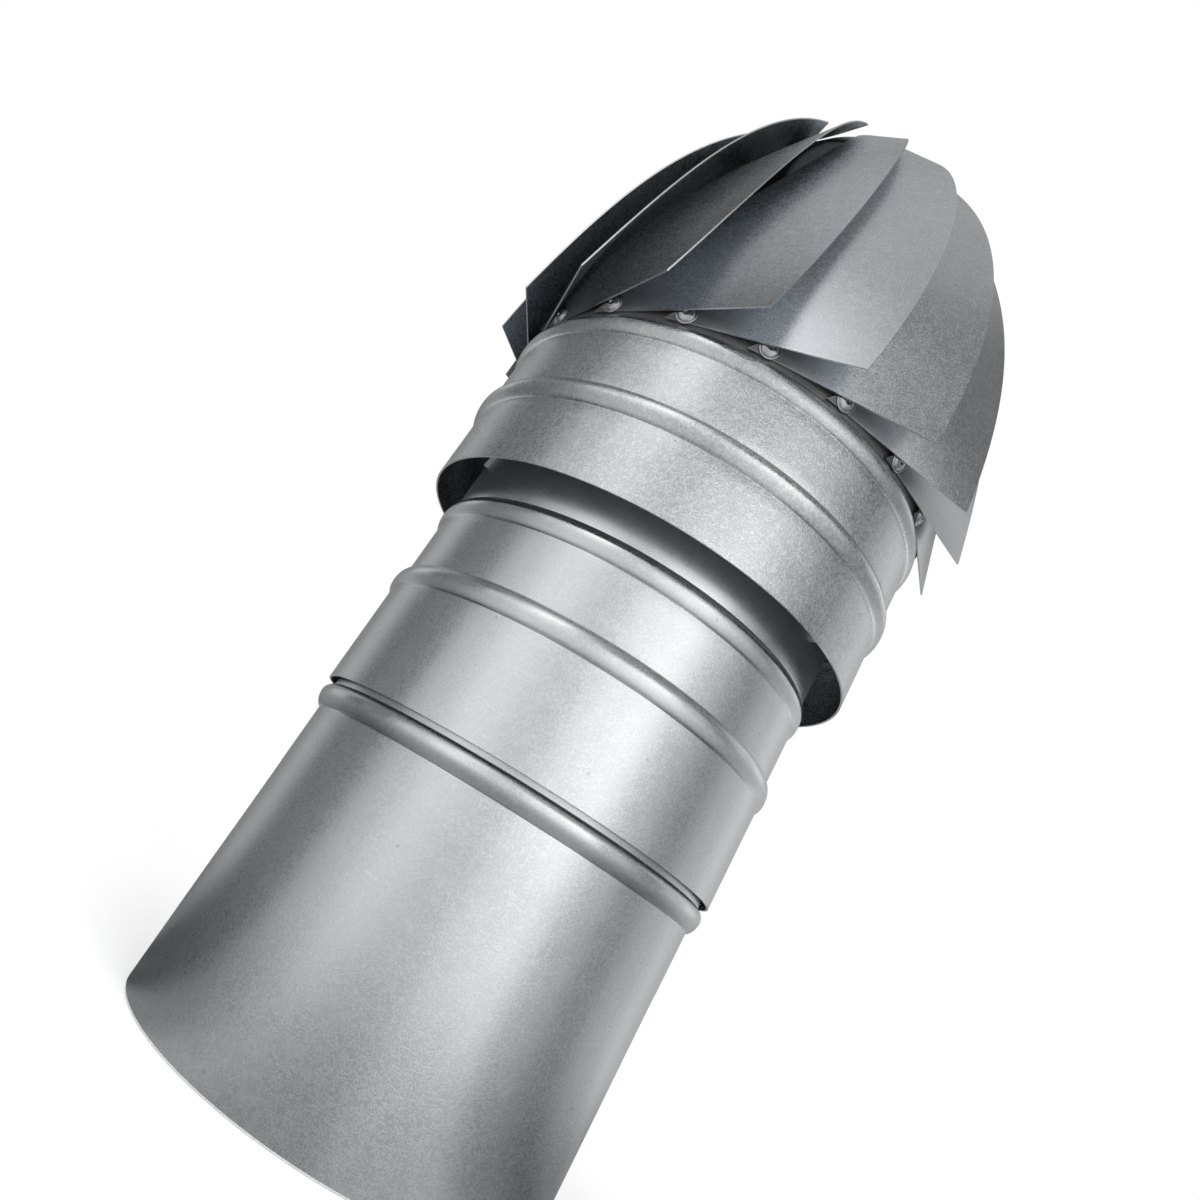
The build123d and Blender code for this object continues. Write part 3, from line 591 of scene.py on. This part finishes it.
rivet_steel = galvanised(
    "rivet_steel", (0.40, 0.41, 0.43), 0.2, grain_scale=1500.0, grain=0.08, spangle=0.0, scratches=0.0,
    clouds=0.12)


def rivets(name, node, places, grip, body):
    """One row of rivets in place of its CAD node."""
    row = turned_piece(name, rivet_section(grip), places)
    row.data.materials.append(rivet_steel)
    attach(row, body)
    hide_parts(node)


# CLEARANCE is left between a rivet, strip or cap and what it seats on.
CLEARANCE = 0.05
SLEEVE_RIVET_HEIGHT, SLEEVE_RIVET_AZIMUTHS = 116.6, (30, 150)
sleeve_places = [
    radial_place(azimuth, SLEEVE_RADIUS + CLEARANCE, SLEEVE_RIVET_HEIGHT) for azimuth in SLEEVE_RIVET_AZIMUTHS
]
rivets("sleeve_rivet_heads", "sleeve_rivets", sleeve_places, grip=3.85, body="stator")

# Bearing bridge.
# Three flat arms of thick galvanised strip over the throat's rim, each bent down outside it into a
# pointed ear with one rivet.
bridge_zinc = galvanised("bridge_zinc", (0.60, 0.61, 0.63), 0.36, relief=0.03)
dress("bearing_bridge", bridge_zinc)
BRIDGE_STRIP, EAR_RIVET_DROP, EAR_AZIMUTHS = 2.0, 13.0, (-157, -37, 83)
EAR_FACE = THROAT_RADIUS + CLEARANCE + BRIDGE_STRIP
ear_places = [
    radial_place(azimuth, EAR_FACE + CLEARANCE, THROAT_RIM - EAR_RIVET_DROP) for azimuth in EAR_AZIMUTHS
]
rivets("ear_rivet_heads", "bridge_rivets", ear_places, grip=2.8, body="stator")

# Spindle with its nuts, washers and spacer.
# Bright zinc-plated steel, clamped to the bridge and held by a lock nut under the cap.
plated_steel = galvanised(
    "plated_steel", (0.70, 0.71, 0.73), 0.26, grain_scale=1200.0, grain=0.06, spangle=0.0, scratches=0.15)
turned_steel = galvanised(
    "turned_steel", (0.58, 0.59, 0.61), 0.34, grain_scale=900.0, grain=0.05, spangle=0.0, scratches=0.3)
for node in ("bridge_nut_lower", "bridge_nut_upper", "lock_nut", "bridge_washers", "inner_washers"):
    dress(node, plated_steel)
for node in ("spindle", "spacer_tube"):
    dress(node, turned_steel)

# Ball bearings.
# Two sealed units, one at each end of the hub tube: hard polished rings.
bearing_steel = galvanised(
    "bearing_steel", (0.76, 0.77, 0.78), 0.14, grain_scale=1500.0, grain=0.02, spangle=0.0, scratches=0.2)
for end in ("lower", "upper"):
    dress(f"{end}_bearing_inner", bearing_steel)
    dress(f"{end}_bearing_outer", bearing_steel)

# Hub tube.
# Turned steel tube that carries both bearings, with a flange riveted under the crown plate.
dress("hub_tube", turned_steel)

# Rotor skirt and collar.
# Galvanised tube round the neck with a wide running gap, two swaged beads, a lapped seam at the back and a
# narrower collar on top that the blades are riveted to. The collar is darkened under the blades as painted
# shade.
SKIRT_RADIUS, COLLAR_RADIUS = 88.8, 87.6
SKIRT_TOP, SKIRT_BEAD_RISE = 250.2, 2.4
COLLAR_PAINTED_SHADE, COLLAR_SHADE_FROM = -1.65, 259.0
skirt_stretches = [
    (SKIRT_RADIUS, 191.7, 218.8), (SKIRT_RADIUS, 227.8, SKIRT_TOP), (COLLAR_RADIUS, 259.2, 272.2),
]
skirt_section = wall_section(skirt_stretches, SKIRT_BEAD_RISE)
# Painted shade on the collar above its lower foot, under the blades: darker and duller.
skirt_section[skirt_section[:, 1] > COLLAR_SHADE_FROM, 2] = COLLAR_PAINTED_SHADE
skirt = rolled_tube("skirt_sheet", skirt_section, SHEET, seam_top=SKIRT_TOP)
skirt.data.materials.append(galvanised(
    "skirt_zinc", (0.63, 0.645, 0.66), 0.24, grain_scale=620.0, grain=0.3, spangle=0.04, relief=0.055,
    polish_and_painted_light_attribute="polish", bright=0.45))
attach(skirt, "rotor")
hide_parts("rotor_skirt")

# Blades.
# Thin galvanised sheet sheared to a leaf with a curved outer edge and a curved inner edge, bent so that its
# lower end lies along the collar, and darkened round the rivet as painted shade. The cut edges show bright.
BLADE_COUNT = 18
BLADE_SHEET = 0.6
FIRST_TIP = -115.2
TIP_RADIUS, SEAT_RADIUS, TIP_HEIGHT = 105.3, 88.25, 265.9
BLADE_HEIGHT, INNER_RISE, BLADE_TAIL, TAIL_DROP = 152.3, 157.7, 12.0, 5.9
tangent_lag = math.degrees(math.atan2(math.sqrt(TIP_RADIUS**2 - SEAT_RADIUS**2), SEAT_RADIUS))
tail_lag = tangent_lag + math.degrees(math.atan2(BLADE_TAIL, SEAT_RADIUS))
# Corners of the two curved edges: radius, lead over the tip in degrees, height.
OUTER_EDGE = [
    (TIP_RADIUS, 0.0, TIP_HEIGHT), (TIP_RADIUS - 6.7, 4.1, TIP_HEIGHT + BLADE_HEIGHT * 0.333),
    (TIP_RADIUS - 21.2, 6.1, TIP_HEIGHT + BLADE_HEIGHT * 0.667), (52.1, 6.1, TIP_HEIGHT + BLADE_HEIGHT),
]
INNER_EDGE = [
    (math.hypot(SEAT_RADIUS, BLADE_TAIL), -tail_lag, TIP_HEIGHT - TAIL_DROP),
    (SEAT_RADIUS - 3.6, -20.7, TIP_HEIGHT + INNER_RISE * 0.4),
    (SEAT_RADIUS - 14.2, -17.3, TIP_HEIGHT + INNER_RISE * 0.6),
    (SEAT_RADIUS - 28.7, -17.1, TIP_HEIGHT + INNER_RISE * 0.8), (42.2, -20.1, TIP_HEIGHT + INNER_RISE),
]


def smooth_edge(corners, tip_azimuth, along):
    """Points of a smooth edge through its corners (radius, lead, height). A cubic in each span, with the same
    slope and bend where two meet, and one cubic over each pair of end spans."""
    radius, lead, height = np.array(corners).T
    angle = np.radians(tip_azimuth + lead)
    through = np.stack([radius * np.cos(angle), radius * np.sin(angle), height], axis=1)
    knots = np.concatenate([[0], np.cumsum(np.linalg.norm(np.diff(through, axis=0), axis=1))])
    knots /= knots[-1]
    count, gaps = len(knots), np.diff(knots)
    system, right = np.zeros((count, count)), np.zeros((count, 3))
    for k in range(1, count - 1):
        system[k, k - 1:k + 2] = gaps[k - 1], 2 * (gaps[k - 1] + gaps[k]), gaps[k]
        right[k] = 6 * ((through[k + 1] - through[k]) / gaps[k] - (through[k] - through[k - 1]) / gaps[k - 1])
    system[0, :3] = gaps[1], -gaps[0] - gaps[1], gaps[0]
    system[-1, -3:] = gaps[-1], -gaps[-1] - gaps[-2], gaps[-2]
    bend = np.linalg.solve(system, right)
    span = np.clip(np.searchsorted(knots, along, side="right") - 1, 0, count - 2)
    gap = gaps[span][:, None]
    ahead_by, past_by = (knots[span + 1] - along)[:, None], (along - knots[span])[:, None]
    return (
        (bend[span] * ahead_by**3 + bend[span + 1] * past_by**3) / (6 * gap)
        + (through[span] / gap - bend[span] * gap / 6) * ahead_by
        + (through[span + 1] / gap - bend[span + 1] * gap / 6) * past_by
    )


SMALL_STEP = 1e-3


def blade_surface(tip_azimuth, along, across_share):
    """Straight lines from the inner edge to the outer edge, each at the same share of both edges' lengths.
    Gives points and outward normals for a grid of shares."""
    inner = smooth_edge(INNER_EDGE, tip_azimuth, along)[:, None, :]
    outer = smooth_edge(OUTER_EDGE, tip_azimuth, along)[:, None, :]
    if across_share.ndim == 1:
        across_share = np.broadcast_to(across_share, (len(along), len(across_share)))
    share = across_share[:, :, None]
    points = inner + (outer - inner) * share
    on, back = np.clip(along + SMALL_STEP, 0, 1), np.clip(along - SMALL_STEP, 0, 1)
    inner_on = smooth_edge(INNER_EDGE, tip_azimuth, on)[:, None, :]
    outer_on = smooth_edge(OUTER_EDGE, tip_azimuth, on)[:, None, :]
    inner_back = smooth_edge(INNER_EDGE, tip_azimuth, back)[:, None, :]
    outer_back = smooth_edge(OUTER_EDGE, tip_azimuth, back)[:, None, :]
    up_way = inner_on + (outer_on - inner_on) * share - inner_back - (outer_back - inner_back) * share
    normal = np.cross(np.broadcast_to(outer - inner, up_way.shape), up_way)
    normal /= np.linalg.norm(normal, axis=2, keepdims=True)
    return points, normal


def close_to_ends(count, share):
    """Even steps from 0 to 1 with one more line close to each end, where the cut edge catches the light."""
    return np.concatenate([[0, share], np.linspace(share, 1 - share, count)[1:-1], [1 - share, 1]])


BLADE_ROWS, BLADE_COLUMNS = 56, 26
ROW_EDGE, COLUMN_EDGE = 0.006, 0.008
CORNER_ROUND, CORNER_INSET = 0.034, 0.24
EDGE_POLISH = 0.15
# Painted shade on each blade's lower inner corner round the rivet, where the blades overlap.
TAIL_PAINTED_SHADE, SHADED_ALONG, SHADED_ACROSS = 1.45, 0.05, 0.3
BLADE_CRISP = 40
blade_zinc = galvanised(
    "blade_zinc", (0.60, 0.625, 0.65), 0.25, grain_scale=560.0, grain=0.15, spangle=0.03, scratches=0.25,
    relief=0.035, polish_and_painted_light_attribute="polish", bright=0.55)
cut_edge = galvanised(
    "cut_edge", (0.66, 0.67, 0.68), 0.3, grain_scale=1500.0, grain=0.1, spangle=0.0, scratches=0.0)
corner_turn = np.linspace(0, math.pi / 2, 10)
along = np.sort(np.concatenate([
    close_to_ends(BLADE_ROWS, ROW_EDGE)[:-2], 1 - CORNER_ROUND * (1 - np.sin(corner_turn)),
]))
across_even = close_to_ends(BLADE_COLUMNS, COLUMN_EDGE)
rounding = np.clip((along - (1 - CORNER_ROUND)) / CORNER_ROUND, 0, 1)
inset = CORNER_INSET * (1 - np.sqrt(1 - rounding**2))
across_share = inset[:, None] + (1 - inset)[:, None] * across_even[None, :]
rows, columns = len(along), len(across_even)
shade_along = np.exp(-((along / SHADED_ALONG) ** 2))
shade_across = np.exp(-((across_even / SHADED_ACROSS) ** 4))
# Painted shade at the lower inner corner; the cut edges are lighter.
finish = -TAIL_PAINTED_SHADE * shade_along[:, None] * shade_across[None, :]
finish[:, [0, -1]] += EDGE_POLISH
finish[[0, -1], :] += EDGE_POLISH
finish = finish.astype(np.float32)
flat_faces = grid_faces(rows, columns)
ring = np.concatenate([
    np.arange(columns), np.arange(1, rows) * columns + columns - 1,
    (rows - 1) * columns + np.arange(columns - 2, -1, -1), np.arange(rows - 2, 0, -1) * columns,
])
after = np.roll(ring, -1)
side_faces = np.stack([ring, ring + rows * columns, after + rows * columns, after], axis=1)
faces = np.vstack([flat_faces, flat_faces[:, ::-1] + rows * columns, side_faces])
slots = np.zeros(len(faces), np.int32)
slots[-len(side_faces):] = 1
tip_azimuths = [FIRST_TIP + 360 / BLADE_COUNT * index for index in range(BLADE_COUNT)]
for index, tip_azimuth in enumerate(tip_azimuths):
    points, normal = blade_surface(tip_azimuth, along, across_share)
    inner_side = points - normal * BLADE_SHEET
    both_sides = np.concatenate([points.reshape(-1, 3), inner_side.reshape(-1, 3)]) * MM
    blade = put_mesh(f"blade_sheet_{index + 1:02d}", both_sides, faces)
    mask = blade.data.attributes.new("polish", "FLOAT", "POINT")
    mask.data.foreach_set("value", np.tile(finish.ravel(), 2))
    blade.data.materials.append(blade_zinc)
    blade.data.materials.append(cut_edge)
    blade.data.polygons.foreach_set("material_index", slots)
    crisp_edges(blade, BLADE_CRISP)
    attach(blade, "rotor")
    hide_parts(f"blade_{index + 1:02d}")

# Collar rivets.
# One blind rivet through the lower end of each blade and the collar, square on the blade. Each stands on
# the point of a fine grid over the blade's lower inner corner that comes closest to the wanted place.
RIVET_HEIGHT = 263.9
RIVET_PAST_TANGENT = 5.4
fine_along, fine_across = np.linspace(0, 0.12, 90), np.linspace(0, 0.35, 140)
collar_places = []
for tip_azimuth in tip_azimuths:
    points, normal = blade_surface(tip_azimuth, fine_along, fine_across)
    _, (side, _, _) = radial_place(tip_azimuth - tangent_lag, 0.0, RIVET_HEIGHT)
    miss = np.abs(points @ side + RIVET_PAST_TANGENT) + np.abs(points[:, :, 2] - RIVET_HEIGHT)
    spot = np.unravel_index(np.argmin(miss), miss.shape)
    out_here = normal[spot]
    side_here = np.cross([0, 0, 1.0], out_here)
    side_here /= np.linalg.norm(side_here)
    axes_here = (side_here, np.cross(out_here, side_here), out_here)
    collar_places.append((points[spot] + out_here * CLEARANCE, axes_here))
rivets("collar_rivet_heads", "collar_rivets", collar_places, grip=1.9, body="rotor")

# Crown plate.
# Disc pressed from galvanised sheet, with a rim that slopes down inside the blades' top ends and is darkened
# there as painted shade.
CROWN_TOP, CROWN_SHEET, CROWN_TURNS = 424.8, 1.0, 160
CROWN_HOLE, CROWN_FLAT, CROWN_RIM, CROWN_DROP = 11.5, 30.0, 49.6, 16.0
CROWN_SHADE_BELOW, CROWN_SHADE_OVER = 0.6, 3.0
UPRIGHT = (np.array([1.0, 0, 0]), np.array([0, 1.0, 0]), np.array([0, 0, 1.0]))
ON_AXIS = [(np.zeros(3), UPRIGHT)]
bend_part = np.linspace(0, 1, 9)[1:-1, None]
shoulder, knee, rim_start = np.array([[37.4, CROWN_TOP], [40.2, CROWN_TOP], [41.9, CROWN_TOP - 2.9]])
bent = (1 - bend_part) ** 2 * shoulder + 2 * bend_part * (1 - bend_part) * knee + bend_part**2 * rim_start
crown_outside = np.vstack([
    [CROWN_HOLE, CROWN_TOP], [CROWN_FLAT, CROWN_TOP], shoulder, bent, rim_start,
    [CROWN_RIM, CROWN_TOP - CROWN_DROP],
])
inward = np.zeros_like(crown_outside)
inward[:, 1] = -CROWN_SHEET
inward[-2:, 0] = -CROWN_SHEET
inward[-1:, 1] = 0.0
crown_section = np.vstack([crown_outside, (crown_outside + inward)[::-1], crown_outside[:1]])
crown = turned_piece("crown_sheet", crown_section, ON_AXIS, turns=CROWN_TURNS)
coordinates = np.empty(len(crown.data.vertices) * 3)
crown.data.vertices.foreach_get("co", coordinates)
# Painted shade on the crown's sloping rim: darker and duller below the flat top.
rim_shade = -np.clip((CROWN_TOP - CROWN_SHADE_BELOW - coordinates[2::3] / MM) / CROWN_SHADE_OVER, 0, 1)
crown.data.attributes.new("polish", "FLOAT", "POINT").data.foreach_set("value", rim_shade.astype(np.float32))
crown.data.materials.append(galvanised(
    "crown_zinc", (0.62, 0.64, 0.66), 0.3, grain_scale=560.0, grain=0.2, spangle=0.05, relief=0.05,
    polish_and_painted_light_attribute="polish", bright=0.8))
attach(crown, "rotor")
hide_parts("crown_plate")

# Hub rivets.
# Four blind rivets through the crown plate and the hub's flange.
HUB_RIVET_CIRCLE = 21.7
hub_places = []
for quarter in range(4):
    angle = quarter * math.pi / 2
    x, y = HUB_RIVET_CIRCLE * math.cos(angle), HUB_RIVET_CIRCLE * math.sin(angle)
    hub_places.append((np.array([x, y, CROWN_TOP + CLEARANCE]), UPRIGHT))
rivets("hub_rivet_heads", "hub_rivets", hub_places, grip=3.55, body="rotor")

# Hub cap.
# Spun aluminium cap with a soft shoulder; its plug ring sits in the hub's bore over the lock nut.
CAP_RADIUS, CAP_RISE, CAP_EDGE, CAP_TURNS = 17.0, 6.0, 1.0, 96
PLUG_RADIUS, PLUG_DEPTH, PLUG_WALL = 10.92, 3.0, 0.8
cap_bottom = CROWN_TOP + CLEARANCE
part = np.linspace(0, 1, 12)[:, None]
top_end, pull, edge_end = np.array([[5.0, CAP_RISE], [13.5, CAP_RISE - 0.2], [16.7, CAP_EDGE + 0.1]])
dome = (1 - part) ** 2 * top_end + 2 * part * (1 - part) * pull + part**2 * edge_end
cap_section = np.vstack([
    [0.0, CAP_RISE], dome, [CAP_RADIUS, CAP_EDGE - 0.3], [CAP_RADIUS, 0.0], [PLUG_RADIUS, 0.0],
    [PLUG_RADIUS, -PLUG_DEPTH], [PLUG_RADIUS - PLUG_WALL, -PLUG_DEPTH],
    [PLUG_RADIUS - PLUG_WALL, CAP_RISE - 1.6], [0.0, CAP_RISE - 0.8],
]) + [0.0, cap_bottom]
cap = turned_piece("cap_shell", cap_section, ON_AXIS, turns=CAP_TURNS)
material, tree, out = new_material("spun_aluminium")
metal = add_node(tree, "ShaderNodeBsdfPrincipled", metallic=1.0)
metal.inputs["Base Color"].default_value = (0.74, 0.75, 0.76, 1)
where = tree.nodes.new("ShaderNodeTexCoord")
rings = add_node(
    tree, "ShaderNodeTexWave", wave_type="RINGS", rings_direction="Z", scale=1400.0, distortion=1.5)
tree.links.new(where.outputs["Object"], rings.inputs["Vector"])
rough = add_node(tree, "ShaderNodeMapRange")
rough.inputs["To Min"].default_value = 0.2
rough.inputs["To Max"].default_value = 0.34
tree.links.new(rings.outputs["Fac"], rough.inputs["Value"])
tree.links.new(rough.outputs["Result"], metal.inputs["Roughness"])
bump = add_node(tree, "ShaderNodeBump", strength=0.2, distance=0.01 * MM)
tree.links.new(rings.outputs["Fac"], bump.inputs["Height"])
tree.links.new(bump.outputs[0], metal.inputs["Normal"])
tree.links.new(metal.outputs[0], out.inputs["Surface"])
cap.data.materials.append(material)
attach(cap, "rotor")
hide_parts("hub_cap")
